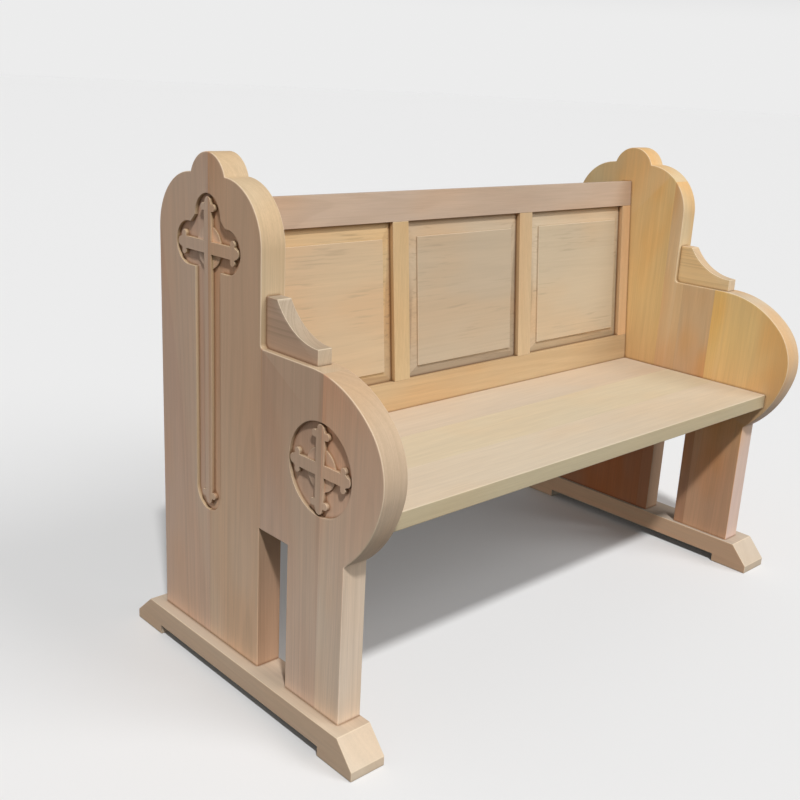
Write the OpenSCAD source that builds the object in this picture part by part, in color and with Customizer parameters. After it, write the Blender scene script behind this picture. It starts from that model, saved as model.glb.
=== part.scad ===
// Church pew: two solid ends glued up from upright staves and tenoned into foot rails, scroll brackets on
// the arms, a reclined back of three raised-and-fielded panels in a frame, and a seat of glued planks.
// Frame: +Z up, the sitter faces -Y, origin on the floor under the middle of the overall box.
// The ends are drawn in the plane of depth and height, and mirrored for the right-hand side.

/* [Length] */
// Clear length between the two ends
clear_len = 1188; // [900:1:1800]
// Thickness of the ends
end_t = 50; // [40:1:60]
// How far a foot rail stands out past the outer face of its end
foot_proud = 24; // [10:1:40]
// How far the left and the right foot rail reach in past the inner face of their end
foot_inward = [0, 10];

/* [Uprights] */
// Depth of an upright, front to rear
upright_depth = 321; // [300:1:340]
// Rear edge of the uprights behind the origin
upright_back = 284; // [270:1:300]
// Height where the shoulders start to curve
shoulder_start = 832; // [810:1:860]
// Radius of the shoulders
shoulder_r = 109; // [90:1:140]
// Height of the centre of the top lobe
lobe_h = 923; // [915:1:930]
// Radius of the top lobe
lobe_r = 56; // [50:1:62]

/* [Arms and front legs] */
// Height of the flat top of the arm
arm_top = 669; // [650:1:690]
// Radius of the upper, front and lower stretches of the arm's scroll
arm_radii = [210, 127, 238];
// Directions, in degrees, where one stretch of the scroll runs into the next
arm_turns = [134.8, 193.5];
// Front face of the leg ahead of the origin
leg_front = 271.5; // [260:0.5:285]
// Width of the slot between the leg and the upright
slot_w = 84.5; // [60:0.5:100]
// Height of the top of the slot
slot_top = 341; // [300:1:360]

/* [Foot rails] */
// Height of the foot rails
foot_h = 63; // [55:1:75]
// Rear end of the foot rails behind the origin, which is also how far the arms reach forwards
foot_back = 359; // [350:1:370]
// Front end of the foot rails ahead of the origin
foot_front = 338; // [330:1:350]
// Height of the blunt vertical ends under the slopes
foot_blunt = 18.5; // [12:0.5:30]
// Length of the slope at the front and at the rear end
foot_slopes = [40, 50];
// Length of each pad that touches the floor
pad_len = 92; // [70:1:120]
// Height of the relief between the pads
relief_h = 18.5; // [10:0.5:24]

/* [Scroll brackets] */
// Thickness of the brackets
bracket_t = 29; // [26:1:34]
// Inset of the brackets from the outer faces of the ends
bracket_inset = 12; // [6:1:14]
// Length of a bracket along the arm
bracket_len = 140; // [120:1:150]
// Height of a bracket at the upright
bracket_h = 88; // [84:0.5:92]
// Height of a bracket's nose
nose_h = 27; // [20:1:32]
// Radius of the hollow of a bracket
hollow_r = 130; // [120:1:140]
// Radius of the inner corner where the arm meets the upright
corner_r = 8; // [4:1:12]

/* [Carving] */
// Depth of the carved ground below the face
carve_depth = 7; // [4:0.5:10]
// Half width of the sunk ground along the stem of the long cross
ground_half = 40; // [34:1:44]
// Height of the crossing of the long cross
crossing_h = 815.5; // [800:0.5:825]
// Length of the upper, side and lower arms of the long cross, from its crossing
long_arms = [88, 95, 482];
// Height of the crossing of the medallion
medallion_h = 504; // [490:1:515]
// Distance of the medallion's centre ahead of the origin
medallion_front = 203; // [195:1:210]
// Radius of the medallion
medallion_r = 81; // [70:1:90]
// Width of the bars of both crosses
bar_w = 22; // [16:1:28]
// Radius of the low disc behind each crossing
disc_r = 38; // [30:1:39]

/* [Seat] */
// Height of the top of the seat
seat_h = 450; // [435:1:465]
// Thickness of the seat planks
seat_t = 32; // [26:1:38]
// Front edge of the seat ahead of the origin
seat_front = 316; // [300:1:325]
// Depth of the front and the middle plank
plank_depths = [136, 132];

/* [Back] */
// Distance behind the origin where the back's face meets the seat's top
back_foot = 82.5; // [75:0.5:90]
// Recline of the back in degrees
recline = 5.1; // [0:0.1:8]
// Length of the back from the seat's top to its top edge, along the recline
back_len = 449; // [420:1:460]
// Thickness of the frame of the back
frame_t = 32; // [28:1:40]
// Height of the top rail
top_rail_h = 59.5; // [50:0.5:80]
// Height of the bottom rail above the seat
low_rail_h = 62; // [50:0.5:80]
// Width of the two muntins
muntin_w = 43; // [36:1:60]
// Distance of a muntin's centre line from the middle
muntin_x = 193; // [150:1:240]
// Width of the end stiles
stile_w = 34; // [30:1:60]
// Width of the sloped margins below, beside and above each panel's field
margin_ws = [24, 26.5, 33];

/* [Hidden] */
$fn = 96;
arc_step = 3;
corner_step = 15;
over = 1;

// Places across the pew
inner_x = clear_len / 2;
outer_x = inner_x + end_t;
foot_outer_x = outer_x + foot_proud;
mid_x = inner_x + end_t / 2;

// Places along the depth of an end
upright_front = upright_back - upright_depth;
upright_mid = upright_back - upright_depth / 2;
slot_front = upright_front - slot_w;
end_top = lobe_h + lobe_r;

// Glue lines between the staves, from the rear: the left-hand end is glued up from near-equal boards and
// the right-hand end from boards of random width
left_joints = [121, -42, -207];
right_joints = [-6, -62, -149];

// Centres of the three arcs of the arm's scroll, each arc tangent to the next
function along(angle) = [cos(angle), sin(angle)];
scroll_rise = (arm_radii[0] - arm_radii[1]) * sin(arm_turns[0]);
front_arc = [-foot_back + arm_radii[1], arm_top - arm_radii[0] + scroll_rise];
upper_arc = front_arc - (arm_radii[0] - arm_radii[1]) * along(arm_turns[0]);
lower_arc = front_arc + (arm_radii[1] - arm_radii[2]) * along(arm_turns[1]);
scroll_end = lower_arc[1] - sqrt(pow(arm_radii[2], 2) - pow(lower_arc[0] + leg_front, 2));
scroll_end_turn = 180 + atan2(lower_arc[1] - scroll_end, lower_arc[0] + leg_front);

// Joinery of the ends
tenon_t = 20;
tenon_len = 30;
tenon_inset = 17;
dowel_r = 5;
dowel_len = 50;
upright_dowel_zs = [150, 330, 600, 780];
bridge_dowel_zs = [440, 520, 600];
leg_dowel_zs = [130, 430, 570];
bracket_dowel_r = 4;
bracket_dowel_len = 40;
bracket_dowel_ys = [-70, -140];
bracket_dowel_z = 725;

// Heads on the arms of both crosses: a round end lobe and two round side lobes
end_lobe_r = 8.5;
side_lobe_r = 6.5;
side_lobe_out = 15.5;
side_lobe_back = 18.5;
medallion_gap = 3;

// Screws
screw_r = 2.5;
screw_head_r = 5;
screw_head_h = 4;
screw_sink = 1;
foot_screw_ys = [220, 30, -180];
foot_screw_len = 75;
cleat_screw_ys = [-180, -95, 40];
cleat_screw_len = 65;
seat_screw_ys = [-135, -62, 10];
seat_screw_len = 54;
ledger_screw_xs = [-450, -150, 150, 450];
ledger_screw_len = 50;
ledger_screw_shift = 60;
ledger_screw_bite = 22;
batten_to_frame_zs = [20, 225, 415];
batten_to_frame_len = 44;
batten_to_end_zs = [110, 320];
batten_to_end_len = 60;

// Seat fixings
cleat_t = 30;
cleat_h = 36;
cleat_front = -215;
cleat_rear = 70;
seat_under = seat_h - seat_t;
first_joint = -seat_front + plank_depths[0];
second_joint = first_joint + plank_depths[1];
ledger_t = 28;
ledger_h = 32;
ledger_low = seat_under - ledger_h;
ledger_mid = back_foot - (seat_t + cleat_h / 2) * tan(recline) - ledger_t / 2;
seat_dowel_xs = [-450, -150, 150, 450];

// Back joinery, in the back's own plane: x across, y from its face to the rear, z up along the recline
groove_y = 12;
groove_t = 8;
groove_d = 10;
tongue = 8;
back_tenon_len = 24;
stile_tenon_inset = 6;
field_y = 2.5;
step_y = 5.5;
rail_drop = 56;
open_low = low_rail_h;
open_high = back_len - top_rail_h;
batten_t = 30;
batten_low = -50;
batten_high = 430;

// ---- Helpers -------------------------------------------------------------------------------------------

// Draws an outline of depth and height as a board that lies across x from x0, t thick
module board_x(x0, t) {
    translate([x0, 0, 0]) rotate([90, 0, 90]) linear_extrude(t) children();
}

// Points along an arc about a centre, from one direction to another, every few degrees
function arc(centre, r, a0, a1, step = arc_step) = let (steps = ceil((a1 - a0) / step))
    [for (i = [0:steps]) centre + r * along(a0 + (a1 - a0) * i / steps)];

// Screw whose head's outer face is at the origin and whose shank points up
module screw(len) {
    cylinder(r = screw_head_r, h = screw_head_h);
    cylinder(r = screw_r, h = len);
}

// ---- Outline of an end ---------------------------------------------------------------------------------

module upright_outline() {
    translate([upright_front, foot_h]) square([upright_depth, shoulder_start - foot_h]);
    translate([upright_back - shoulder_r, shoulder_start]) circle(shoulder_r);
    translate([upright_front + shoulder_r, shoulder_start]) circle(shoulder_r);
    translate([upright_front + shoulder_r, shoulder_start - over])
        square([upright_depth - 2 * shoulder_r, shoulder_r + over]);
    translate([upright_mid, lobe_h]) circle(lobe_r);
}

module arm_outline() {
    polygon(concat(
        arc(upper_arc, arm_radii[0], 90, arm_turns[0]),
        arc(front_arc, arm_radii[1], arm_turns[0] + arc_step, arm_turns[1]),
        arc(lower_arc, arm_radii[2], arm_turns[1] + arc_step, scroll_end_turn),
        [[upright_front + over, scroll_end], [upright_front + over, arm_top + corner_r]],
        arc([upright_front - corner_r, arm_top + corner_r], corner_r, 0, -90, -corner_step)
    ));
}

module end_outline() {
    upright_outline();
    arm_outline();
    translate([-leg_front, foot_h]) square([slot_front + leg_front, scroll_end - foot_h + over]);
    translate([slot_front - over, slot_top]) square([slot_w + 2 * over, scroll_end - slot_top + over]);
}

module tenon_outline() {
    translate([upright_front + tenon_inset, foot_h - tenon_len])
        square([upright_depth - 2 * tenon_inset, tenon_len]);
    translate([-leg_front + tenon_inset, foot_h - tenon_len])
        square([slot_front + leg_front - 2 * tenon_inset, tenon_len]);
}

// ---- Carving -------------------------------------------------------------------------------------------

// Trefoil head whose tip is at the origin, pointing up
module cross_head() {
    translate([0, -end_lobe_r]) circle(end_lobe_r);
    for (side = [-1, 1]) translate([side * side_lobe_out, -side_lobe_back]) circle(side_lobe_r);
    polygon([
        [-side_lobe_out, -side_lobe_back - side_lobe_r],
        [side_lobe_out, -side_lobe_back - side_lobe_r],
        [side_lobe_out, -side_lobe_back],
        [end_lobe_r, -end_lobe_r],
        [-end_lobe_r, -end_lobe_r],
        [-side_lobe_out, -side_lobe_back]
    ]);
}

// Cross with its crossing at the origin; arms gives the length of the upper, side and lower arms
module cross_outline(arms) {
    lengths = [arms[0], arms[1], arms[2], arms[1]];
    for (i = [0:3]) rotate(90 * i) {
        translate([-bar_w / 2, 0]) square([bar_w, lengths[i] - side_lobe_back]);
        translate([0, lengths[i]]) cross_head();
    }
}

// Sunk ground of the long cross: a round-ended stem, a round-ended bar and eased inner corners
module long_ground() {
    lobe_out = 62;
    lobe_half = ground_half - 1;
    corner = 14;
    room_above = 5.5;
    room_below = 12;
    top_z = long_arms[0] + room_above - ground_half;
    low_z = ground_half - long_arms[2] - room_below;
    translate([-ground_half, low_z]) square([2 * ground_half, top_z - low_z]);
    translate([0, top_z]) circle(ground_half);
    translate([0, low_z]) circle(ground_half);
    translate([-lobe_out, -lobe_half]) square([2 * lobe_out, 2 * lobe_half]);
    for (side = [-1, 1]) {
        translate([side * lobe_out, 0]) circle(lobe_half);
        polygon([
            [side * (ground_half - over), lobe_half - over],
            [side * (ground_half - over), lobe_half + corner],
            [side * ground_half, lobe_half + corner],
            [side * (ground_half + corner), lobe_half],
            [side * (ground_half + corner), lobe_half - over]
        ]);
    }
}

// Cuts one carving into the outer face of the left-hand end: ground first, then a shallower disc
module sink(place, arms) {
    board_x(-outer_x - over, carve_depth + over) translate(place) difference() {
        children();
        circle(disc_r);
        cross_outline(arms);
    }
    board_x(-outer_x - over, carve_depth / 2 + over) translate(place) difference() {
        circle(disc_r);
        cross_outline(arms);
    }
}

module carving_cuts() {
    medallion_arm = medallion_r - medallion_gap;
    sink([upright_mid, crossing_h], long_arms) long_ground();
    sink([-medallion_front, medallion_h], [medallion_arm, medallion_arm, medallion_arm])
        circle(medallion_r);
}

// ---- Fixings of the left-hand end ----------------------------------------------------------------------

module stave_dowels(joints, play = 0) {
    rows = [upright_dowel_zs, bridge_dowel_zs, leg_dowel_zs];
    len = dowel_len + 2 * play;
    for (i = [0:2]) for (z = rows[i])
        translate([-mid_x, joints[i] - len / 2, z]) rotate([-90, 0, 0]) cylinder(r = dowel_r, h = len);
}

module foot_screws() {
    for (y = foot_screw_ys) translate([-mid_x, y, relief_h]) screw(foot_screw_len);
}

module bracket_dowels(play = 0) {
    len = bracket_dowel_len + 2 * play;
    for (y = bracket_dowel_ys)
        translate([-mid_x, y, arm_top - len / 2]) cylinder(r = bracket_dowel_r, h = len);
    translate([-mid_x, upright_front - len / 2, bracket_dowel_z])
        rotate([-90, 0, 0]) cylinder(r = bracket_dowel_r, h = len);
}

module cleat_screws() {
    for (y = cleat_screw_ys)
        translate([-inner_x + cleat_t, y, seat_under - cleat_h / 2])
            rotate([0, -90, 0]) screw(cleat_screw_len);
}

module seat_to_cleat_screws() {
    for (y = seat_screw_ys)
        translate([-inner_x + cleat_t / 2, y, seat_under - cleat_h]) screw(seat_screw_len);
}

// ---- Pieces of the left-hand end, mirrored for the right -----------------------------------------------

// One stave: the strip of the end between two glue lines, counted from the rear
module stave(joints, i) {
    edges = concat([upright_back + over], joints, [-foot_back - over]);
    low = edges[i + 1];
    width = edges[i] - edges[i + 1];
    difference() {
        union() {
            board_x(-outer_x, end_t) intersection() {
                end_outline();
                translate([low, 0]) square([width, end_top + over]);
            }
            board_x(-mid_x - tenon_t / 2, tenon_t) intersection() {
                tenon_outline();
                translate([low, 0]) square([width, end_top + over]);
            }
        }
        carving_cuts();
        stave_dowels(joints, 1);
        foot_screws();
        bracket_dowels(1);
        cleat_screws();
        reclined() batten_to_end();
    }
}

// Foot rail that reaches a given distance in past the inner face of the end
module foot_rail(inward) {
    difference() {
        board_x(-foot_outer_x, foot_outer_x - inner_x + inward) difference() {
            polygon([
                [-foot_front, 0],
                [-foot_front, foot_blunt],
                [-foot_front + foot_slopes[0], foot_h],
                [foot_back - foot_slopes[1], foot_h],
                [foot_back, foot_blunt],
                [foot_back, 0]
            ]);
            translate([-foot_front + pad_len, -over])
                square([foot_front + foot_back - 2 * pad_len, relief_h + over]);
        }
        board_x(-mid_x - tenon_t / 2, tenon_t) tenon_outline();
        foot_screws();
    }
}

module scroll_bracket() {
    difference() {
        board_x(-outer_x + bracket_inset, bracket_t) difference() {
            translate([upright_front - bracket_len, arm_top]) square([bracket_len, bracket_h]);
            translate([upright_front - bracket_len, arm_top + nose_h + hollow_r]) circle(hollow_r);
            arm_outline();
        }
        bracket_dowels(1);
    }
}

module seat_cleat() {
    difference() {
        translate([-inner_x, cleat_front, seat_under - cleat_h])
            cube([cleat_t, cleat_rear - cleat_front, cleat_h]);
        cleat_screws();
        seat_to_cleat_screws();
    }
}

// ---- Back ----------------------------------------------------------------------------------------------

// Stands a piece of the back in its reclined place
module reclined() {
    translate([0, back_foot, seat_h]) rotate([-recline, 0, 0]) children();
}

// A bar of the frame from x0 to x1 and z0 to z1
module bar(x0, x1, z0, z1) {
    translate([x0, 0, z0]) cube([x1 - x0, frame_t, z1 - z0]);
}

// A tenon or a groove's space in the middle of the frame's thickness
module tongue_space(x0, x1, z0, z1) {
    translate([x0, groove_y, z0]) cube([x1 - x0, groove_t, z1 - z0]);
}

// Tenons at both ends of an upright of the frame that spans x0 to x1
module frame_tenons(x0, x1) {
    tongue_space(x0, x1, open_low - back_tenon_len, open_low);
    tongue_space(x0, x1, open_high, open_high + back_tenon_len);
}

module muntin_tenons(side) {
    half = muntin_w / 2 - groove_d;
    frame_tenons(side * muntin_x - half, side * muntin_x + half);
}

module stile_tenons(side) {
    near = inner_x - stile_w + groove_d;
    far = inner_x - stile_tenon_inset;
    frame_tenons(min(side * near, side * far), max(side * near, side * far));
}

module all_tenons() {
    for (side = [-1, 1]) {
        muntin_tenons(side);
        stile_tenons(side);
    }
}

module top_rail() {
    difference() {
        bar(-inner_x, inner_x, open_high, back_len);
        tongue_space(-inner_x - over, inner_x + over, open_high - over, open_high + groove_d);
        all_tenons();
        batten_to_frame(-1);
        batten_to_frame(1);
    }
}

module bottom_rail() {
    difference() {
        bar(-inner_x, inner_x, -rail_drop, open_low);
        tongue_space(-inner_x - over, inner_x + over, open_low - groove_d, open_low + over);
        all_tenons();
        batten_to_frame(-1);
        batten_to_frame(1);
        ledger_to_rail();
    }
}

module muntin(side) {
    x0 = side * muntin_x - muntin_w / 2;
    x1 = side * muntin_x + muntin_w / 2;
    difference() {
        bar(x0, x1, open_low, open_high);
        tongue_space(x0 - over, x0 + groove_d, open_low - over, open_high + over);
        tongue_space(x1 - groove_d, x1 + over, open_low - over, open_high + over);
    }
    muntin_tenons(side);
}

module left_stile() {
    x1 = -inner_x + stile_w;
    difference() {
        union() {
            difference() {
                bar(-inner_x, x1, open_low, open_high);
                tongue_space(x1 - groove_d, x1 + over, open_low - over, open_high + over);
            }
            stile_tenons(-1);
        }
        batten_to_frame(-1);
    }
}

// Raised-and-fielded panel that fills the opening from x0 to x1
module panel(x0, x1) {
    w = x1 - x0 + 2 * tongue;
    h = open_high - open_low + 2 * tongue;
    translate([x0 - tongue, 0, open_low - tongue]) difference() {
        translate([0, field_y, 0]) cube([w, groove_y + groove_t - field_y, h]);
        margin_side(w, margin_ws[0]);
        translate([w, 0, h]) rotate([0, 180, 0]) margin_side(w, margin_ws[2]);
        translate([w, 0, 0]) rotate([0, -90, 0]) margin_side(h, margin_ws[1]);
        translate([0, 0, h]) rotate([0, 90, 0]) margin_side(h, margin_ws[1]);
    }
}

// Sloped margin, tongue's face and the step at the field along the lower edge, as a bar along x
module margin_side(len, margin_w) {
    translate([-over, 0, 0]) rotate([90, 0, 90]) linear_extrude(len + 2 * over)
        polygon([
            [field_y - over, -over],
            [groove_y, -over],
            [groove_y, tongue],
            [step_y, tongue + margin_w],
            [field_y - over, tongue + margin_w]
        ]);
}

// Battens behind the back's ends
module back_batten() {
    difference() {
        translate([-inner_x, frame_t, batten_low]) cube([batten_t, batten_t, batten_high - batten_low]);
        batten_screws();
    }
}

module batten_to_frame(side) {
    for (z = batten_to_frame_zs)
        translate([side * (inner_x - batten_t / 2), frame_t + batten_t, z])
            rotate([90, 0, 0]) screw(batten_to_frame_len);
}

module batten_to_end() {
    for (z = batten_to_end_zs)
        translate([-inner_x + batten_t, frame_t + batten_t / 2, z])
            rotate([0, -90, 0]) screw(batten_to_end_len);
}

// The screws of the left-hand batten
module batten_screws() {
    batten_to_frame(-1);
    batten_to_end();
}

// ---- Seat ----------------------------------------------------------------------------------------------

module seat_dowels(play = 0) {
    len = dowel_len + 2 * play;
    for (x = seat_dowel_xs) for (y = [first_joint, second_joint])
        translate([x, y - len / 2, seat_h - seat_t / 2])
            rotate([-90, 0, 0]) cylinder(r = dowel_r, h = len);
}

// Screws up into the seat from both cleats and from the ledger
module seat_screws() {
    seat_to_cleat_screws();
    mirror([1, 0, 0]) seat_to_cleat_screws();
    for (x = ledger_screw_xs) translate([x + ledger_screw_shift, ledger_mid, ledger_low])
        screw(ledger_h + ledger_screw_bite);
}

module plank(y0, y1) {
    difference() {
        translate([-inner_x, y0, seat_under]) cube([2 * inner_x, y1 - y0, seat_t]);
        seat_dowels(1);
        seat_screws();
    }
}

// The rear plank is planed to the recline of the back along its rear edge
module rear_plank() {
    difference() {
        board_x(-inner_x, 2 * inner_x) polygon([
            [second_joint, seat_under],
            [back_foot - seat_t * tan(recline), seat_under],
            [back_foot, seat_h],
            [second_joint, seat_h]
        ]);
        seat_dowels(1);
        seat_screws();
    }
}

// Ledger under the rear plank, against the reclined face of the bottom rail
module seat_ledger() {
    rail_low = back_foot - (seat_h - ledger_low) * tan(recline);
    rail_high = back_foot - seat_t * tan(recline);
    difference() {
        board_x(-inner_x + cleat_t, 2 * (inner_x - cleat_t)) polygon([
            [rail_low - ledger_t, ledger_low],
            [rail_low, ledger_low],
            [rail_high, seat_under],
            [rail_low - ledger_t, seat_under]
        ]);
        reclined() ledger_to_rail();
        seat_screws();
    }
}

// Screws from the ledger's front through it into the bottom rail, in the back's plane
module ledger_to_rail() {
    for (x = ledger_screw_xs)
        translate([x, screw_sink - ledger_t, screw_sink - seat_t - cleat_h / 2])
            rotate([-90, 0, 0]) screw(ledger_screw_len);
}

// ---- Pieces and their colours --------------------------------------------------------------------------

end_colour = [0.80, 0.69, 0.55];
end_colour_2 = [0.77, 0.64, 0.50];
end_colour_3 = [0.74, 0.64, 0.53];
end_colour_4 = [0.82, 0.68, 0.49];
seat_colour = [0.90, 0.85, 0.77];
rail_colour = [0.78, 0.67, 0.56];
muntin_colour = [0.84, 0.73, 0.55];
panel_colour = [0.83, 0.72, 0.57];
fixing_colour = [0.72, 0.60, 0.44];
steel_colour = [0.62, 0.62, 0.64];

module left_rear_stave() { color(end_colour) stave(left_joints, 0); }
module left_upright_stave() { color(end_colour_2) stave(left_joints, 1); }
module left_middle_stave() { color(end_colour_3) stave(left_joints, 2); }
module left_front_stave() { color(end_colour_4) stave(left_joints, 3); }
module left_stave_dowels() { color(fixing_colour) stave_dowels(left_joints); }
module right_rear_stave() { color(end_colour) mirror([1, 0, 0]) stave(right_joints, 0); }
module right_upright_stave() { color(end_colour_2) mirror([1, 0, 0]) stave(right_joints, 1); }
module right_middle_stave() { color(end_colour_3) mirror([1, 0, 0]) stave(right_joints, 2); }
module right_front_stave() { color(end_colour_4) mirror([1, 0, 0]) stave(right_joints, 3); }
module right_stave_dowels() { color(fixing_colour) mirror([1, 0, 0]) stave_dowels(right_joints); }
module left_foot_rail() { color(end_colour) foot_rail(foot_inward[0]); }
module right_foot_rail() { color(end_colour) mirror([1, 0, 0]) foot_rail(foot_inward[1]); }
module left_foot_screws() { color(steel_colour) foot_screws(); }
module right_foot_screws() { color(steel_colour) mirror([1, 0, 0]) foot_screws(); }
module left_scroll_bracket() { color(end_colour_4) scroll_bracket(); }
module right_scroll_bracket() { color(end_colour_4) mirror([1, 0, 0]) scroll_bracket(); }
module left_bracket_dowels() { color(fixing_colour) bracket_dowels(); }
module right_bracket_dowels() { color(fixing_colour) mirror([1, 0, 0]) bracket_dowels(); }
module seat_front_plank() { color(seat_colour) plank(-seat_front, first_joint); }
module seat_middle_plank() { color(seat_colour) plank(first_joint, second_joint); }
module seat_rear_plank() { color(seat_colour) rear_plank(); }
module seat_dowel_pins() { color(fixing_colour) seat_dowels(); }
module left_seat_cleat() { color(fixing_colour) seat_cleat(); }
module right_seat_cleat() { color(fixing_colour) mirror([1, 0, 0]) seat_cleat(); }
module left_cleat_screws() { color(steel_colour) cleat_screws(); }
module right_cleat_screws() { color(steel_colour) mirror([1, 0, 0]) cleat_screws(); }
module ledger_bar() { color(fixing_colour) seat_ledger(); }
module seat_screw_set() { color(steel_colour) seat_screws(); }
module ledger_screws() { color(steel_colour) reclined() ledger_to_rail(); }
module back_top_rail() { color(rail_colour) reclined() top_rail(); }
module back_bottom_rail() { color(rail_colour) reclined() bottom_rail(); }
module back_left_stile() { color(muntin_colour) reclined() left_stile(); }
module back_right_stile() { color(muntin_colour) mirror([1, 0, 0]) reclined() left_stile(); }
module back_left_muntin() { color(muntin_colour) reclined() muntin(-1); }
module back_right_muntin() { color(muntin_colour) reclined() muntin(1); }
module back_left_panel() {
    color(panel_colour) reclined() panel(-inner_x + stile_w, -muntin_x - muntin_w / 2);
}
module back_centre_panel() {
    color(panel_colour) reclined() panel(-muntin_x + muntin_w / 2, muntin_x - muntin_w / 2);
}
module back_right_panel() {
    color(panel_colour) reclined() panel(muntin_x + muntin_w / 2, inner_x - stile_w);
}
module left_back_batten() { color(fixing_colour) reclined() back_batten(); }
module right_back_batten() { color(fixing_colour) mirror([1, 0, 0]) reclined() back_batten(); }
module left_batten_screws() { color(steel_colour) reclined() batten_screws(); }
module right_batten_screws() { color(steel_colour) mirror([1, 0, 0]) reclined() batten_screws(); }

left_rear_stave();
left_upright_stave();
left_middle_stave();
left_front_stave();
left_stave_dowels();
right_rear_stave();
right_upright_stave();
right_middle_stave();
right_front_stave();
right_stave_dowels();
left_foot_rail();
right_foot_rail();
left_foot_screws();
right_foot_screws();
left_scroll_bracket();
right_scroll_bracket();
left_bracket_dowels();
right_bracket_dowels();
seat_front_plank();
seat_middle_plank();
seat_rear_plank();
seat_dowel_pins();  // seat_dowels
left_seat_cleat();
right_seat_cleat();
left_cleat_screws();
right_cleat_screws();
ledger_bar();  // seat_ledger
seat_screw_set();  // seat_screws
ledger_screws();
back_top_rail();
back_bottom_rail();
back_left_stile();
back_right_stile();
back_left_muntin();
back_right_muntin();
back_left_panel();
back_centre_panel();
back_right_panel();
left_back_batten();
right_back_batten();
left_batten_screws();
right_batten_screws();
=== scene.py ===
"""Church pew in raw, sanded softwood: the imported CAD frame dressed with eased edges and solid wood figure.

Every board is a copy of its CAD node with its outer arrises rounded as a sander leaves them and its glue
lines opened by a hair. The wood is a solid texture: growth rings round a pith, fibres and drifting colour
run through each board along its own grain, so faces, edges and end grain agree. The dowels and screws are
the CAD nodes themselves, with wood and steel materials.
"""

import math

import bmesh
import bpy
from mathutils import Matrix, Vector
from mathutils.bvhtree import BVHTree


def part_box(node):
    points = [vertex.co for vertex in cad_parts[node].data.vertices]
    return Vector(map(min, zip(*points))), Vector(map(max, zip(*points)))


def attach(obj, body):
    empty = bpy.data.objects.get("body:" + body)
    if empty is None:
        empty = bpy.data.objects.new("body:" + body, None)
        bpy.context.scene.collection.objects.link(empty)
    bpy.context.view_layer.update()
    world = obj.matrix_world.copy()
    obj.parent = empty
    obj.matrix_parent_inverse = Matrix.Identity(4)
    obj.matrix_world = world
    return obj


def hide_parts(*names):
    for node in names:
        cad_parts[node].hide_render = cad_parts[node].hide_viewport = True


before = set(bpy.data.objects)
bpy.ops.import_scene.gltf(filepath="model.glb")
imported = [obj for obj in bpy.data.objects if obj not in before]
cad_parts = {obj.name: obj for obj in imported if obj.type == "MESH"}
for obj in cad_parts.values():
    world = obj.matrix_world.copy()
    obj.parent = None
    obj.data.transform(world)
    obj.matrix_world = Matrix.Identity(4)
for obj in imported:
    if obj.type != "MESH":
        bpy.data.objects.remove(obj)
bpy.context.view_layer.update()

MM = 0.001


# ---------------------------------------------------------------- small helpers


def srgb(red, green, blue):
    """Scene-linear colour of an 8-bit display colour."""
    out = []
    for value in (red, green, blue):
        part = value / 255
        out.append(part / 12.92 if part <= 0.04045 else ((part + 0.055) / 1.055) ** 2.4)
    return (*out, 1.0)


# where a Mix node keeps its colour sockets, among those of other types with the same names
MIX_FIRST = 6
MIX_SECOND = 7
MIX_RESULT = 2


class Graph:
    """Short calls for building a node tree. A value is a number, a colour or another node's output."""

    def __init__(self, tree):
        self.tree = tree

    def node(self, kind, **settings):
        made = self.tree.nodes.new(kind)
        for key, value in settings.items():
            setattr(made, key, value)
        return made

    def link(self, source, target):
        self.tree.links.new(source, target)

    def feed(self, socket, value):
        """Links an output into the socket, or sets the socket's own value."""
        if isinstance(value, bpy.types.NodeSocket):
            self.link(value, socket)
        else:
            socket.default_value = value

    def math(self, operation, first, second=0.0, third=0.0):
        made = self.node("ShaderNodeMath", operation=operation)
        self.feed(made.inputs[0], first)
        self.feed(made.inputs[1], second)
        self.feed(made.inputs[2], third)
        return made.outputs[0]

    def noise(self, vector, scale, detail=2.0, roughness=0.5):
        made = self.node("ShaderNodeTexNoise")
        self.feed(made.inputs["Vector"], vector)
        self.feed(made.inputs["Scale"], scale)
        self.feed(made.inputs["Detail"], detail)
        self.feed(made.inputs["Roughness"], roughness)
        return made

    def noise_1d(self, value, scale, detail):
        made = self.node("ShaderNodeTexNoise", noise_dimensions="1D")
        self.feed(made.inputs["W"], value)
        self.feed(made.inputs["Scale"], scale)
        self.feed(made.inputs["Detail"], detail)
        return made.outputs[0]

    def remap(self, value, low, high, to_low=0.0, to_high=1.0):
        """Eases smoothly from one value to the other as the input goes from low to high."""
        made = self.node("ShaderNodeMapRange", interpolation_type="SMOOTHSTEP")
        self.feed(made.inputs["Value"], value)
        self.feed(made.inputs["From Min"], low)
        self.feed(made.inputs["From Max"], high)
        self.feed(made.inputs["To Min"], to_low)
        self.feed(made.inputs["To Max"], to_high)
        return made.outputs[0]

    def blend(self, factor, first, second, how="MIX"):
        made = self.node("ShaderNodeMix", data_type="RGBA", blend_type=how)
        self.feed(made.inputs["Factor"], factor)
        self.feed(made.inputs[MIX_FIRST], first)
        self.feed(made.inputs[MIX_SECOND], second)
        return made.outputs[MIX_RESULT]

    def vector(self, x, y, z):
        made = self.node("ShaderNodeCombineXYZ")
        self.feed(made.inputs[0], x)
        self.feed(made.inputs[1], y)
        self.feed(made.inputs[2], z)
        return made.outputs[0]


# ---------------------------------------------------------------- wood

GROUP_COLOURS = ("Base", "Streak", "Warm", "Cool")
GROUP_VALUES = ("Pitch", "Taper", "Rings", "Bands", "Dashes", "Blotch")
# how far the grain wanders sideways, in metres
GRAIN_WANDER = 0.024
# how much a year's width varies, in years
YEAR_VARIATION = 3.2
# the early and late slope of the dark line in each year, as parts of that year
RING_RISE = (0.30, 0.84)
RING_FALL = (0.88, 1.0)
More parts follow.
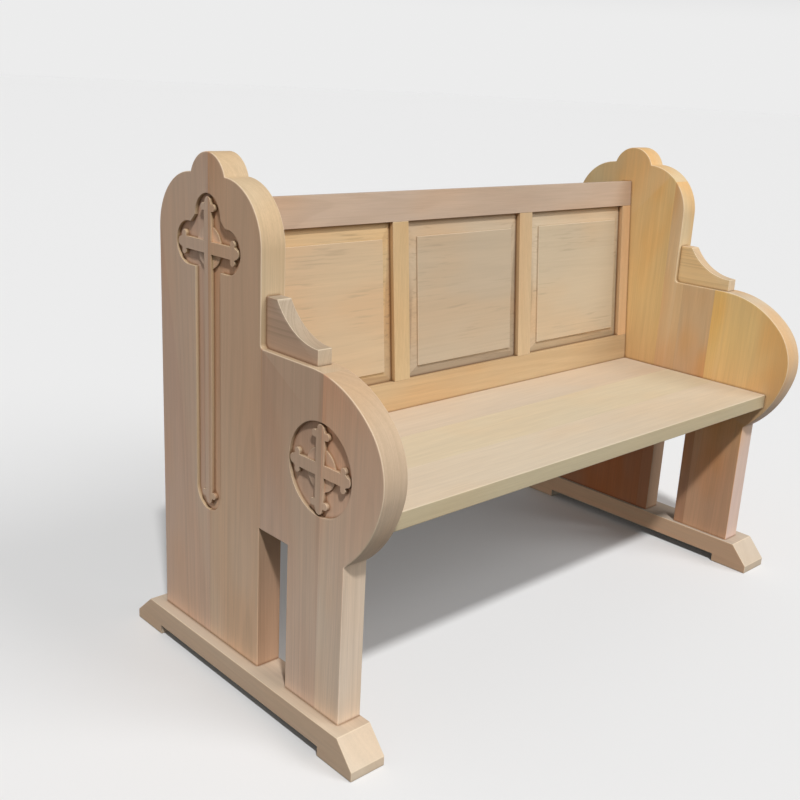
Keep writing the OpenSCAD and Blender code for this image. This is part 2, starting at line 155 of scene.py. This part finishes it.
# how much each part of the figure stands up in the surface
FIBRE_RELIEF = 0.45
STRAND_RELIEF = 0.5
RING_RELIEF = 0.30
DASH_RELIEF = -0.35
# the wood's least roughness, and how much the fibres add
LEAST_ROUGHNESS = 0.56
FIBRE_ROUGHNESS = 0.16


def group_sockets(tree):
    """The inputs and outputs of the figure group."""
    side = tree.interface
    side.new_socket("Vector", in_out="INPUT", socket_type="NodeSocketVector")
    for name in GROUP_COLOURS:
        side.new_socket(name, in_out="INPUT", socket_type="NodeSocketColor")
    for name in GROUP_VALUES:
        side.new_socket(name, in_out="INPUT", socket_type="NodeSocketFloat")
    side.new_socket("Color", in_out="OUTPUT", socket_type="NodeSocketColor")
    side.new_socket("Height", in_out="OUTPUT", socket_type="NodeSocketFloat")
    side.new_socket("Roughness", in_out="OUTPUT", socket_type="NodeSocketFloat")


def wandering(g, across, through, along):
    """The two cross coordinates, swayed slowly along the grain."""
    slow = g.vector(across, through, g.math("MULTIPLY", along, 0.22))
    wander = g.node("ShaderNodeSeparateColor")
    g.link(g.noise(slow, 4.5, 2.0).outputs["Color"], wander.inputs[0])
    sway = g.math("MULTIPLY_ADD", g.math("SUBTRACT", wander.outputs[0], 0.5), GRAIN_WANDER, across)
    heave = g.math("MULTIPLY_ADD", g.math("SUBTRACT", wander.outputs[1], 0.5), GRAIN_WANDER, through)
    return sway, heave


def growth(g, sway, heave, along, given):
    """Growth rings, light early wood then a thin darker line, and broader bands that follow them."""
    # distance from the pith, with the stem's taper
    length = g.node("ShaderNodeVectorMath", operation="LENGTH")
    g.link(g.vector(sway, heave, 0.0), length.inputs[0])
    radius = g.math("MULTIPLY_ADD", along, given["Taper"], length.outputs["Value"])
    years = g.math("DIVIDE", radius, given["Pitch"])
    uneven = g.math("MULTIPLY_ADD", g.noise_1d(years, 0.37, 1.0), YEAR_VARIATION, years)
    phase = g.math("FRACT", uneven)
    ring = g.math("MULTIPLY", g.remap(phase, *RING_RISE), g.remap(phase, *RING_FALL, 1.0, 0.0))
    band = g.remap(g.noise_1d(radius, 48.0, 3.0), 0.36, 0.68)
    return ring, band


def threads(g, across, through, sway, heave, along):
    """Long, faint fibres and the broader strands they lie in."""
    thread = g.vector(across, through, g.math("MULTIPLY", along, 0.022))
    fibre = g.noise(thread, 620.0, 2.0, 0.6).outputs[0]
    strand_at = g.vector(sway, heave, g.math("MULTIPLY", along, 0.035))
    strand = g.noise(strand_at, 150.0, 3.0, 0.6).outputs[0]
    return fibre, strand


def short_dashes(g, across, through, sway, heave, along):
    """Short darker dashes, gathered in patches."""
    dash_at = g.vector(sway, heave, g.math("MULTIPLY", along, 0.055))
    dash = g.remap(g.noise(dash_at, 190.0, 2.0, 0.55).outputs[0], 0.54, 0.70)
    patch_at = g.vector(across, through, g.math("MULTIPLY", along, 0.5))
    patch = g.remap(g.noise(patch_at, 13.0, 2.0, 0.5).outputs[0], 0.44, 0.62)
    return g.math("MULTIPLY", dash, patch)


def clouds(g, across, through, along):
    """Clouds of warmer and of cooler colour."""
    warm_at = g.vector(across, through, g.math("MULTIPLY", along, 0.45))
    warm = g.remap(g.noise(warm_at, 7.0, 2.0, 0.45).outputs[0], 0.40, 0.66)
    cool_at = g.vector(through, across, g.math("MULTIPLY_ADD", along, 0.38, 7.0))
    cool = g.remap(g.noise(cool_at, 9.0, 2.0, 0.5).outputs[0], 0.46, 0.70)
    return warm, cool


def figure_group():
    """Solid wood figure. Vector is in metres with Z along the grain, measured from the pith. Each part
    of the figure shrinks "along" by its own factor, so that it runs lengthwise."""
    tree = bpy.data.node_groups.new("wood_figure", "ShaderNodeTree")
    group_sockets(tree)
    g = Graph(tree)
    given = g.node("NodeGroupInput").outputs
    out = g.node("NodeGroupOutput").inputs
    parts = g.node("ShaderNodeSeparateXYZ")
    g.link(given["Vector"], parts.inputs[0])
    across, through, along = parts.outputs
    sway, heave = wandering(g, across, through, along)
    ring, band = growth(g, sway, heave, along, given)
    fibre, strand = threads(g, across, through, sway, heave, along)
    dashed = short_dashes(g, across, through, sway, heave, along)
    warm, cool = clouds(g, across, through, along)

    colour = g.blend(g.math("MULTIPLY", warm, given["Blotch"]), given["Base"], given["Warm"])
    colour = g.blend(g.math("MULTIPLY", cool, given["Blotch"]), colour, given["Cool"])
    colour = g.blend(g.math("MULTIPLY", ring, given["Rings"]), colour, given["Streak"])
    colour = g.blend(g.math("MULTIPLY", band, given["Bands"]), colour, given["Streak"])
    colour = g.blend(g.math("MULTIPLY", dashed, given["Dashes"]), colour, given["Streak"])
    # the strands and fibres lighten and darken the wood by a few parts in a hundred
    shade = g.remap(strand, 0.32, 0.70, 0.976, 1.022)
    fine = g.remap(fibre, 0.30, 0.72, 0.965, 1.03)
    tone = g.math("MULTIPLY", shade, fine)
    colour = g.blend(1.0, colour, g.vector(tone, tone, tone), "MULTIPLY")
    g.link(colour, out["Color"])

    height = g.math("MULTIPLY_ADD", fibre, FIBRE_RELIEF, g.math("MULTIPLY", strand, STRAND_RELIEF))
    height = g.math("MULTIPLY_ADD", ring, RING_RELIEF, height)
    height = g.math("MULTIPLY_ADD", dashed, DASH_RELIEF, height)
    g.link(height, out["Height"])
    g.link(g.math("MULTIPLY_ADD", fibre, FIBRE_ROUGHNESS, LEAST_ROUGHNESS), out["Roughness"])
    return tree


FIGURE = figure_group()
CROSS_AXES = {"X": ("Y", "Z"), "Y": ("X", "Z"), "Z": ("X", "Y")}
AXIS_INDEX = {"X": 0, "Y": 1, "Z": 2}


def scaled(colour, red, green, blue):
    """The colour with each channel multiplied by its own factor."""
    return (colour[0] * red, colour[1] * green, colour[2] * blue, 1.0)


def change(old, new):
    """What a colour is multiplied by to become another."""
    return scaled(new, 1 / old[0], 1 / old[1], 1 / old[2])


# how square a face stands to the broad axis where the sawn tone, partly painted light, is full, and where it
# is gone:
# for boards, and for panels, whose sloped margins lie at a small angle to the field and take it as a painted
# highlight
SAWN_TURN = (0.30, 0.85)
MARGIN_TURN = (0.985, 0.993)
# heights between which an end's colour drifts to its tone near the floor, which is painted light and shade
LOW_DRIFT = (0.20, 0.62)
# how far the painted shade of an inner corner reaches, in metres, how strong it is, how open to the room a
# point is where the painted shade is full and where it is gone, and what it multiplies the wood's colour by
NOOK_REACH = 8 * MM
NOOK_SHADE = 0.72
NOOK_OPEN = (0.42, 0.88)
NOOK_TINT = (0.30, 0.17, 0.08, 1.0)
NOOK_SAMPLES = 8
# how square a face stands to the grain where its end grain begins and is full, and its tint
END_TURN = (0.55, 0.95)
END_TINT = (0.84, 0.74, 0.62, 1.0)
# what a board's tone is multiplied by in its dark streaks, times its depth, and in its cool blotches
STREAK_TINT = (1.0, 0.93, 0.84)
COOL_TINT = (0.94, 0.95, 0.98)
MILD_WARMTH = (1.04, 0.90, 0.76)
# the paler colour of an arris, partly wood sanded through and partly a painted highlight where the rounded
# edge catches the light, and how much of it shows
ARRIS_COLOUR = (0.90, 0.76, 0.56, 1.0)
ARRIS_SHARE = 0.55
# the surface of raw wood
WOOD_IOR = 1.45
WOOD_SPECULAR = 0.28
BUMP_STRENGTH = 0.30
BUMP_HEIGHT = 0.3 * MM


def wood(name, grain, pith, base, pitch=6.0, taper=0.012, rings=0.16, bands=0.18, dashes=0.10,
         blotch=0.5, shift=0.0, depth=0.62, end_grain=0.30, broad="X", turn=SAWN_TURN, cut=None,
         low=None, low_cut=None, warmth=MILD_WARMTH):
    """Raw wood for one board: grain is its long axis, pith where the stem's centre runs, in metres.
    pitch is the width of a year in millimetres, and rings, bands, dashes and blotch are strengths.
    cut is the tone of its sawn edges and carved walls, where they turn away from the broad axis, partly the
    wood's own and partly painted light that sets them lighter or darker than the broad faces. low and
    low_cut are tones painted near the floor on the broad faces and the sawn edges as painted light and
    shade, and warmth is what its warm blotches multiply its tone by."""
    material = bpy.data.materials.new(name)
    material.use_nodes = True
    g = Graph(material.node_tree)
    shader = material.node_tree.nodes["Principled BSDF"]
    shader.inputs["IOR"].default_value = WOOD_IOR
    shader.inputs["Specular IOR Level"].default_value = WOOD_SPECULAR

    place = g.node("ShaderNodeTexCoord")
    parts = g.node("ShaderNodeSeparateXYZ")
    g.link(place.outputs["Object"], parts.inputs[0])
    first, second = CROSS_AXES[grain]
    across = g.math("SUBTRACT", parts.outputs[AXIS_INDEX[first]], pith[0])
    through = g.math("SUBTRACT", parts.outputs[AXIS_INDEX[second]], pith[1])
    along = g.math("ADD", parts.outputs[AXIS_INDEX[grain]], shift)
    figure = g.node("ShaderNodeGroup", node_tree=FIGURE)
    g.link(g.vector(across, through, along), figure.inputs["Vector"])
    streak = scaled(base, *(depth * part for part in STREAK_TINT))
    colours = (base, streak, scaled(base, *warmth), scaled(base, *COOL_TINT))
    for socket, colour in zip(GROUP_COLOURS, colours):
        figure.inputs[socket].default_value = colour
    values = (pitch * MM, taper, rings, bands, dashes, blotch)
    for socket, value in zip(GROUP_VALUES, values):
        figure.inputs[socket].default_value = value
    colour = figure.outputs["Color"]

    # end grain drinks the light and looks a little deeper
    facing = g.node("ShaderNodeSeparateXYZ")
    g.link(place.outputs["Normal"], facing.inputs[0])
    end = g.remap(g.math("ABSOLUTE", facing.outputs[AXIS_INDEX[grain]]), *END_TURN)
    colour = g.blend(g.math("MULTIPLY", end, end_grain), colour, END_TINT, "MULTIPLY")
    sawn = g.remap(g.math("ABSOLUTE", facing.outputs[AXIS_INDEX[broad]]), *turn, 1.0, 0.0)
    # painted light and shade near the floor: the broad faces and the sawn edges drift to their low tones
    if low:
        near_floor_painted_light = g.remap(parts.outputs[2], *LOW_DRIFT, 1.0, 0.0)
        planed = g.math("SUBTRACT", 1.0, sawn)
        colour = g.blend(g.math("MULTIPLY", near_floor_painted_light, planed), colour, change(base, low), "MULTIPLY")
        colour = g.blend(g.math("MULTIPLY", near_floor_painted_light, sawn), colour, change(cut, low_cut), "MULTIPLY")
    # painted light: sawn edges and carved walls take their own tone, partly the wood's and partly set to how
    # lit they look beside the broad faces
    if cut:
        colour = g.blend(sawn, colour, change(base, cut), "MULTIPLY")
    # painted shade: inner corners and joints are darkened by how closed-in they are, as their shadow would
    # darken them
    nook = g.node("ShaderNodeAmbientOcclusion", samples=NOOK_SAMPLES)
    nook.inputs["Distance"].default_value = NOOK_REACH
    corner_painted_shade = g.remap(nook.outputs["AO"], *NOOK_OPEN, NOOK_SHADE, 0.0)
    colour = g.blend(corner_painted_shade, colour, NOOK_TINT, "MULTIPLY")
    # arrises are paler: partly sanded through to paler wood, partly a painted highlight along the edge
    edge = g.node("ShaderNodeAttribute", attribute_name="arris")
    worn_and_painted_highlight = g.math("MULTIPLY", edge.outputs["Fac"], ARRIS_SHARE)
    colour = g.blend(worn_and_painted_highlight, colour, ARRIS_COLOUR)
    g.link(colour, shader.inputs["Base Color"])
    g.link(figure.outputs["Roughness"], shader.inputs["Roughness"])
    bump = g.node("ShaderNodeBump")
    bump.inputs["Strength"].default_value = BUMP_STRENGTH
    bump.inputs["Distance"].default_value = BUMP_HEIGHT
    g.link(figure.outputs["Height"], bump.inputs["Height"])
    g.link(bump.outputs[0], shader.inputs["Normal"])
    return material


def steel():
    """Zinc-plated screw steel, finely mottled."""
    material = bpy.data.materials.new("zinc_steel")
    material.use_nodes = True
    g = Graph(material.node_tree)
    shader = material.node_tree.nodes["Principled BSDF"]
    shader.inputs["Metallic"].default_value = 1.0
    place = g.node("ShaderNodeTexCoord")
    spots = g.noise(place.outputs["Object"], 900.0, 3.0).outputs[0]
    colour = g.blend(spots, srgb(150, 150, 152), srgb(196, 197, 200))
    g.link(colour, shader.inputs["Base Color"])
    g.link(g.remap(spots, 0.3, 0.7, 0.28, 0.48), shader.inputs["Roughness"])
    return material


# ---------------------------------------------------------------- boards

# points closer than this are one, and faces that turn by less than this are merged
WELD = 1e-6
FLAT = math.radians(0.4)
# edges that turn by more than this are eased, and shading splits at what is left
SHARP = math.radians(24)
SHADE_SPLIT = math.radians(38)
# widths of the chamfers along a glued joint and along one that was put together dry
GLUE_GAP = 0.3 * MM
DRY_GAP = 0.9 * MM
# a face is covered if another board is this near, at a point this far inside the edge
TOUCH = 0.03 * MM
PROBE = 0.15 * MM
# a wall of this extent across the board belongs to the carving, not to the outline
CARVED_DEPTH = (1 * MM, 9 * MM)
OUTLINE_STEPS = 3
CARVED_STEPS = 2


def tree_of_others(name):
    """Surfaces of every CAD node but one, to tell which faces are covered by a neighbour."""
    verts, faces = [], []
    for other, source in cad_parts.items():
        if other == name:
            continue
        start = len(verts)
        verts.extend(vertex.co.copy() for vertex in source.data.vertices)
        for face in source.data.polygons:
            faces.append([start + i for i in face.vertices])
    return BVHTree.FromPolygons(verts, faces)


def covered(edge, face, others):
    """True where the face, a hair inside the edge, lies against another board."""
    start, end = (vertex.co for vertex in edge.verts)
    middle = (start + end) / 2
    run = (end - start).normalized()
    inward = face.normal.cross(run)
    loop = next(item for item in edge.link_loops if item.face == face)
    if (loop.link_loop_next.vert.co - loop.vert.co).dot(run) < 0:
        inward = -inward
    found = others.find_nearest(middle + inward * PROBE, TOUCH)
    return found[0] is not None


def depth_of(face):
    """Extent of a face across the pew, which is the depth of a carved wall on an end."""
    xs = [vertex.co.x for vertex in face.verts]
    return max(xs) - min(xs)


def sort_edges(bm, others, done):
    """Convex sharp edges, by kind: outline, carved and glued. Edges of done faces are left out, unless
    they are glued ones."""
    kinds = {"outline": [], "carved": [], "glued": []}
    for edge in bm.edges:
        if len(edge.link_faces) != 2 or edge.calc_face_angle_signed() < SHARP:
            continue
        hidden = [covered(edge, face, others) for face in edge.link_faces]
        if all(hidden):
            continue
        if any(hidden):
            kinds["glued"].append(edge)
            continue
        if any(face in done for face in edge.link_faces):
            continue
        carved = any(CARVED_DEPTH[0] < depth_of(face) < CARVED_DEPTH[1] for face in edge.link_faces)
        kinds["carved" if carved else "outline"].append(edge)
    return kinds


def ease(bm, edges, width, steps, done):
    """Rounds the edges and remembers the new faces."""
    if not edges:
        return
    result = bmesh.ops.bevel(bm, geom=edges, offset=width, offset_type="OFFSET", segments=steps,
                             profile=0.5, affect="EDGES", clamp_overlap=True)
    done.update(result["faces"])


def still_there(faces):
    return {face for face in faces if face.is_valid}


def mark_arris(bm, eased):
    """Stores how much of each point lies on eased edges in the layer "arris"."""
    arris = bm.verts.layers.float.new("arris")
    for vertex in bm.verts:
        around = vertex.link_faces
        share = sum(face in eased for face in around) / max(len(around), 1)
        vertex[arris] = max(0.0, 2 * share - 1)


def refined(node, round_to, carve_to, gap):
    """The CAD node's shape with eased arrises and opened joints. round_to and carve_to are the widths
    of the rounding on the outline and the carving, in millimetres, and gap is in metres."""
    others = tree_of_others(node)
    bm = bmesh.new()
    bm.from_mesh(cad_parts[node].data)
    bmesh.ops.remove_doubles(bm, verts=bm.verts, dist=WELD)
    bmesh.ops.dissolve_limit(bm, angle_limit=FLAT, verts=bm.verts, edges=bm.edges)
    bm.normal_update()
    done = set()
    kinds = sort_edges(bm, others, done)
    ease(bm, kinds["outline"], round_to * MM, OUTLINE_STEPS, done)
    bm.normal_update()
    done = still_there(done)
    if node.endswith("stave"):
        kinds = sort_edges(bm, others, done)
        ease(bm, kinds["carved"], carve_to * MM, CARVED_STEPS, done)
        bm.normal_update()
        done = still_there(done)
    kinds = sort_edges(bm, others, done)
    # the faces that open the joints aren't sanded ones, so they stay out of done
    ease(bm, kinds["glued"], gap, 1, set())
    mark_arris(bm, still_there(done))
    return bm


def board(node, material, round_to=1.6, carve_to=0.7, gap=GLUE_GAP):
    """The visible board for a CAD node: same shape, eased arrises, joints opened by a gap."""
    bm = refined(node, round_to, carve_to, gap)
    mesh = bpy.data.meshes.new(node + "_board")
    for face in bm.faces:
        face.smooth = True
    bm.to_mesh(mesh)
    bm.free()
    mesh.set_sharp_from_angle(angle=SHADE_SPLIT)
    piece = bpy.data.objects.new(node + "_board", mesh)
    bpy.context.scene.collection.objects.link(piece)
    normals = piece.modifiers.new("face_weighted", "WEIGHTED_NORMAL")
    normals.keep_sharp = True
    mesh.materials.append(material)
    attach(piece, "root")
    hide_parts(node)


# the tone of each board, as a display colour
TONES = {
    "left_rear_stave": (225, 190, 165),
    "left_upright_stave": (225, 181, 146),
    "left_middle_stave": (214, 175, 146),
    "left_front_stave": (237, 190, 157),
    "right_rear_stave": (242, 210, 151),
    "right_upright_stave": (230, 200, 157),
    "right_middle_stave": (221, 196, 160),
    "right_front_stave": (247, 213, 141),
    "left_foot_rail": (224, 190, 160),
    "right_foot_rail": (245, 192, 150),
    "left_scroll_bracket": (213, 181, 155),
    "right_scroll_bracket": (247, 220, 172),
    "seat_front_plank": (214, 199, 176),
    "seat_middle_plank": (212, 197, 169),
    "seat_rear_plank": (209, 192, 170),
    "back_top_rail": (197, 174, 153),
    "back_bottom_rail": (201, 173, 134),
    "back_left_stile": (210, 172, 132),
    "back_right_stile": (222, 186, 144),
    "back_left_muntin": (204, 177, 136),
    "back_right_muntin": (205, 178, 141),
    "back_left_panel": (189, 159, 121),
    "back_centre_panel": (165, 146, 123),
    "back_right_panel": (180, 162, 135),
    "left_seat_cleat": (200, 170, 130),
    "right_seat_cleat": (200, 170, 130),
    "left_back_batten": (200, 172, 134),
    "right_back_batten": (200, 172, 134),
    "seat_ledger": (200, 170, 130),
}
# tones of sawn edges and carved walls, partly the wood's own and partly painted light that sets them lighter
# or darker beside the broad faces, and a painted highlight on the panels' margins
CUT_AND_PAINTED_LIGHT_TONES = {
    "left_rear_stave": (212, 188, 154),
    "left_upright_stave": (208, 184, 150),
    "left_middle_stave": (204, 180, 150),
    "left_front_stave": (202, 176, 146),
    "right_rear_stave": (222, 198, 158),
    "right_upright_stave": (222, 198, 158),
    "right_middle_stave": (218, 198, 166),
    "right_front_stave": (214, 194, 166),
    "left_foot_rail": (206, 188, 168),
    "right_foot_rail": (188, 172, 156),
    "left_scroll_bracket": (182, 164, 142),
    "right_scroll_bracket": (212, 188, 156),
    "seat": (193, 179, 148),
    "back_left_panel": (208, 180, 138),
    "back_centre_panel": (192, 172, 146),
    "back_right_panel": (202, 182, 154),
}
# tones the staves drift to near the floor: painted shade under the seat on the right end, painted light
# lower down on the left end
LOW_PAINTED_LIGHT_TONES = {
    "left_rear_stave": (236, 204, 180),
    "left_upright_stave": (240, 208, 178),
    "left_middle_stave": (242, 212, 188),
    "left_front_stave": (252, 228, 204),
    "right_rear_stave": (202, 140, 102),
    "right_upright_stave": (202, 140, 102),
    "right_middle_stave": (220, 166, 130),
    "right_front_stave": (244, 192, 152),
}
# tones the sawn edges of some staves drift to near the floor: painted shade on the uprights' edges in the
# slot and under the seat, painted light on the front legs' edges
LOW_CUT_AND_PAINTED_LIGHT_TONES = {
    "left_upright_stave": (184, 152, 127),
    "left_front_stave": (222, 204, 184),
    "right_upright_stave": (178, 146, 120),
    "right_front_stave": (222, 195, 180),
}
# strength of the blotches and of the growth rings on each end, and what warm blotches multiply by
END_BLOTCH = {"left": 0.5, "right": 0.95}
END_RINGS = {"left": 0.15, "right": 0.08}
END_WARMTH = {"left": MILD_WARMTH, "right": (1.04, 0.82, 0.58)}
STAVES = ("rear", "upright", "middle", "front")
# the middle of an end's thickness, from the middle of the pew, in metres
END_MIDDLE = 0.619


def timber(node, grain, pith, **figure):
    """Wood of the board's own tone."""
    return wood(node + "_wood", grain, pith, srgb(*TONES[node]), **figure)


def end_boards(side, sign):
    """Staves, foot rail and bracket of one end, with its hidden cleat and batten."""
    x = sign * END_MIDDLE
    for index, part in enumerate(STAVES):
        node = f"{side}_{part}_stave"
        low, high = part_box(node)
        centre = (low.y + high.y) / 2
        pith = (x + sign * 0.16, centre + 0.05 * (-1) ** index)
        low_cut = LOW_CUT_AND_PAINTED_LIGHT_TONES.get(node, CUT_AND_PAINTED_LIGHT_TONES[node])
        board(node, timber(node, "Z", pith, shift=1.7 * index + sign, rings=END_RINGS[side], bands=0.10,
                           dashes=0.05, blotch=END_BLOTCH[side], end_grain=0.1,
                           warmth=END_WARMTH[side], cut=srgb(*CUT_AND_PAINTED_LIGHT_TONES[node]),
                           low=srgb(*LOW_PAINTED_LIGHT_TONES[node]), low_cut=srgb(*low_cut)),
              round_to=2.0)
    node = f"{side}_foot_rail"
    board(node, timber(node, "Y", (x - sign * 0.25, 0.16), shift=sign, rings=0.08, bands=0.12,
                       end_grain=0.1, cut=srgb(*CUT_AND_PAINTED_LIGHT_TONES[node])))
    node = f"{side}_scroll_bracket"
    board(node, timber(node, "Y", (x - sign * 0.09, 0.66), shift=3 + sign, rings=0.30, end_grain=0.1,
                       cut=srgb(*CUT_AND_PAINTED_LIGHT_TONES[node])), round_to=1.2)
    node = f"{side}_seat_cleat"
    board(node, timber(node, "Y", (x, 0.3)), round_to=1.0)
    node = f"{side}_back_batten"
    board(node, timber(node, "Z", (x, 0.3)), round_to=1.0)


def seat_boards():
    """The three planks, the rear one dry against the back, and the ledger under it."""
    gaps = {"front": GLUE_GAP, "middle": GLUE_GAP, "rear": DRY_GAP}
    for index, part in enumerate(gaps):
        node = f"seat_{part}_plank"
        low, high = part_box(node)
        pith = ((low.y + high.y) / 2 + 0.02, 0.24)
        board(node, timber(node, "X", pith, shift=2.3 * index, rings=0.04, bands=0.06, blotch=0.35,
                           dashes=0.05, broad="Z", cut=srgb(*CUT_AND_PAINTED_LIGHT_TONES["seat"])),
              round_to=2.0, gap=gaps[part])
    board("seat_ledger", timber("seat_ledger", "X", (0.1, 0.3)), round_to=1.0)


def back_boards():
    """Rails, stiles, muntins and panels of the back."""
    for node, pith in (("back_top_rail", (0.34, 0.84)), ("back_bottom_rail", (0.26, 0.40))):
        board(node, timber(node, "X", pith, rings=0.14, bands=0.22, blotch=0.7),
              round_to=0.9, gap=DRY_GAP)
    uprights = {"back_left_stile": -0.40, "back_left_muntin": -0.27, "back_right_muntin": 0.27,
                "back_right_stile": 0.40}
    for index, (node, x) in enumerate(uprights.items()):
        board(node, timber(node, "Z", (x, 0.2), shift=0.9 * index, rings=0.08, bands=0.10),
              round_to=0.9)
    for index, part in enumerate(("left", "centre", "right")):
        node = f"back_{part}_panel"
        pith = (0.24, 0.64 + 0.07 * (index % 2))
        board(node, timber(node, "X", pith, shift=1.1 * index, pitch=9.0, rings=0.08, bands=0.12,
                           dashes=0.45, blotch=0.9, depth=0.46, broad="Y", turn=MARGIN_TURN,
                           cut=srgb(*CUT_AND_PAINTED_LIGHT_TONES[node])), round_to=0.7)


def all_boards():
    """Each board with its own piece of wood."""
    for side, sign in (("left", -1), ("right", 1)):
        end_boards(side, sign)
    seat_boards()
    back_boards()


def hidden_fixings():
    """Dowels and screws keep their CAD shapes and get real materials."""
    peg = wood("dowel_wood", "Z", (0.2, 0.2), srgb(214, 190, 150))
    metal = steel()
    for node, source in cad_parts.items():
        if node.endswith("dowels") or node.endswith("screws"):
            source.data.materials.clear()
            source.data.materials.append(peg if node.endswith("dowels") else metal)


# ---------------------------------------------------------------- stage

# brightness of the room at the height of the horizon, overhead and underfoot
HORIZON = 0.84
CEILING = 0.22
GROUND = 0.05
# heights on the unit sphere between which the wall turns to ceiling, and the ground to wall
CEILING_RISE = (0.06, 0.20)
GROUND_RISE = (-0.04, -0.01)
# the camera's place in metres, its axes, and its focal length on a 36 mm wide sensor
CAMERA_AT = (-1.6228, -1.4182, 1.1095)
CAMERA_RIGHT = (0.73585, -0.67537, 0.04901)
CAMERA_DOWN = (-0.16529, -0.24933, -0.95421)
CAMERA_AHEAD = (0.65667, 0.69405, -0.29510)
FOCAL_LENGTH = 46.51
SENSOR_WIDTH = 36.0
# half the floor's width, in metres
FLOOR_HALF = 80.0


def floor():
    """A wide, plain pale floor."""
    mesh = bpy.data.meshes.new("floor")
    half = FLOOR_HALF
    corners = [(-half, -half, 0), (half, -half, 0), (half, half, 0), (-half, half, 0)]
    mesh.from_pydata(corners, [], [(0, 1, 2, 3)])
    stage = bpy.data.objects.new("floor", mesh)
    bpy.context.scene.collection.objects.link(stage)
    material = bpy.data.materials.new("pale_floor")
    material.use_nodes = True
    shader = material.node_tree.nodes["Principled BSDF"]
    shader.inputs["Base Color"].default_value = (0.84, 0.84, 0.84, 1.0)
    shader.inputs["Roughness"].default_value = 0.9
    shader.inputs["Specular IOR Level"].default_value = 0.1
    mesh.materials.append(material)
    # the pew stands on a dark sheet in life, so the pale floor throws no light back up
    stage.visible_diffuse = False


def distant_light(name, toward, power, spread):
    """A far source; toward points from the pew to it, and spread is its width in degrees."""
    data = bpy.data.lights.new(name, "SUN")
    data.energy = power
    data.angle = math.radians(spread)
    lamp = bpy.data.objects.new(name, data)
    lamp.rotation_euler = Vector(toward).to_track_quat("Z", "Y").to_euler()
    bpy.context.scene.collection.objects.link(lamp)


def lights():
    """A fairly crisp key from the front left, a soft fill from the front right and a white room."""
    distant_light("front_left_light", (-0.29, -0.51, 0.81), 2.20, 4.0)
    distant_light("front_right_light", (0.38, -0.72, 0.58), 1.15, 30.0)
    world = bpy.data.worlds.new("studio_white")
    world.use_nodes = True
    g = Graph(world.node_tree)
    sky = world.node_tree.nodes["Background"]
    sky.inputs["Color"].default_value = (1.0, 1.0, 1.0, 1.0)
    place = g.node("ShaderNodeTexCoord")
    parts = g.node("ShaderNodeSeparateXYZ")
    g.link(place.outputs["Generated"], parts.inputs[0])
    above = g.remap(parts.outputs[2], *CEILING_RISE, HORIZON, CEILING)
    height = g.remap(parts.outputs[2], *GROUND_RISE)
    below = g.math("MULTIPLY", g.math("SUBTRACT", 1.0, height), GROUND)
    g.link(g.math("MULTIPLY_ADD", above, height, below), sky.inputs["Strength"])
    bpy.context.scene.world = world


def camera():
    """A slightly long lens, standing off the pew's left front corner and looking down."""
    data = bpy.data.cameras.new("camera")
    data.lens = FOCAL_LENGTH
    data.sensor_width = SENSOR_WIDTH
    eye = bpy.data.objects.new("camera", data)
    turn = Matrix((CAMERA_RIGHT, -Vector(CAMERA_DOWN), -Vector(CAMERA_AHEAD))).transposed()
    eye.matrix_world = Matrix.Translation(CAMERA_AT) @ turn.to_4x4()
    bpy.context.scene.collection.objects.link(eye)
    bpy.context.scene.camera = eye


all_boards()
hidden_fixings()
floor()
lights()
camera()
bpy.context.scene.view_settings.view_transform = "Standard"
